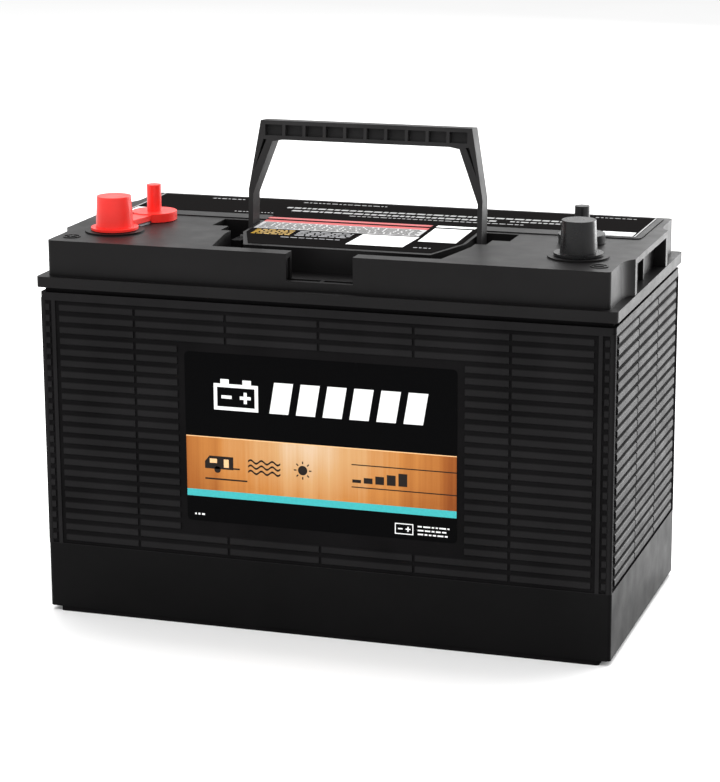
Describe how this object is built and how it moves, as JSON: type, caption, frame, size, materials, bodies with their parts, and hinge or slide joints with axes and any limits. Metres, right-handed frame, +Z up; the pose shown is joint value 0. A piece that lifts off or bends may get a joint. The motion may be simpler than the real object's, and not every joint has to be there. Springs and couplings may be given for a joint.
{
  "type": "deep cycle battery",
  "caption": "Ribbed black box-shaped 12 V deep cycle battery with a folding carry handle, a full-length vent cover and capped post and stud terminals.",
  "frame": {"origin": "on the floor under the middle of the battery, in the plane of the foot", "axes": "+X along the length, positive terminal at -X; -Y is the labelled face; +Z is up"},
  "size_m": [0.331, 0.173, 0.2757],
  "materials": {
    "black_polypropylene": "fine moulded satin grain",
    "handle_polypropylene": "satin moulded",
    "red_vinyl": "soft satin",
    "black_vinyl": "soft satin",
    "lead": "dull cast lead",
    "stainless_steel": "bright turned",
    "printed_film": "gloss printed film",
    "seal_rubber": "matte",
    "porous_disc": "porous",
    "positive_paste": "dark brown paste on a lead grid",
    "negative_paste": "grey spongy lead on a lead grid",
    "separator_sheet": "matte porous sheet"
  },
  "bodies": {
    "battery": {"container": "black_polypropylene", "cover": "black_polypropylene", "positive_bushing": "lead", "negative_bushing": "lead", "positive_post": "lead", "negative_post": "lead", "positive_stud": "stainless_steel", "negative_stud": "stainless_steel", "front_label": "printed_film", "island_label": "printed_film", "positive_plates_1": "positive_paste", "negative_plates_1": "negative_paste", "separators_1": "separator_sheet", "positive_strap_1": "lead", "negative_strap_1": "lead", "positive_plates_2": "positive_paste", "negative_plates_2": "negative_paste", "separators_2": "separator_sheet", "positive_strap_2": "lead", "negative_strap_2": "lead", "positive_plates_3": "positive_paste", "negative_plates_3": "negative_paste", "separators_3": "separator_sheet", "positive_strap_3": "lead", "negative_strap_3": "lead", "positive_plates_4": "positive_paste", "negative_plates_4": "negative_paste", "separators_4": "separator_sheet", "positive_strap_4": "lead", "negative_strap_4": "lead", "positive_plates_5": "positive_paste", "negative_plates_5": "negative_paste", "separators_5": "separator_sheet", "positive_strap_5": "lead", "negative_strap_5": "lead", "positive_plates_6": "positive_paste", "negative_plates_6": "negative_paste", "separators_6": "separator_sheet", "positive_strap_6": "lead", "negative_strap_6": "lead", "intercell_weld_1": "lead", "intercell_weld_2": "lead", "intercell_weld_3": "lead", "intercell_weld_4": "lead", "intercell_weld_5": "lead"},
    "vent_cover": {"vent_manifold": "black_polypropylene", "vent_lid": "black_polypropylene", "vent_seals": "seal_rubber", "flame_arrestor_left": "porous_disc", "flame_arrestor_right": "porous_disc", "vent_label": "printed_film"},
    "handle": {"handle": "handle_polypropylene"},
    "positive_cap": {"positive_cap": "red_vinyl"},
    "negative_cap": {"negative_cap": "black_vinyl"}
  },
  "joints": [
    {"name": "handle_fold", "type": "hinge", "parent": "battery", "child": "handle", "pos_m": [0, 0.001, 0.206], "axis": [1, 0, 0], "range_deg": [0, 94]},
    {"name": "vent_cover_lift", "type": "slide", "parent": "battery", "child": "vent_cover", "axis": [0, 0, 1], "range_m": [0, 0.035]},
    {"name": "positive_cap_lift", "type": "slide", "parent": "battery", "child": "positive_cap", "axis": [0, 0, 1], "range_m": [0, 0.022]},
    {"name": "negative_cap_lift", "type": "slide", "parent": "battery", "child": "negative_cap", "axis": [0, 0, 1], "range_m": [0, 0.022]}
  ]
}
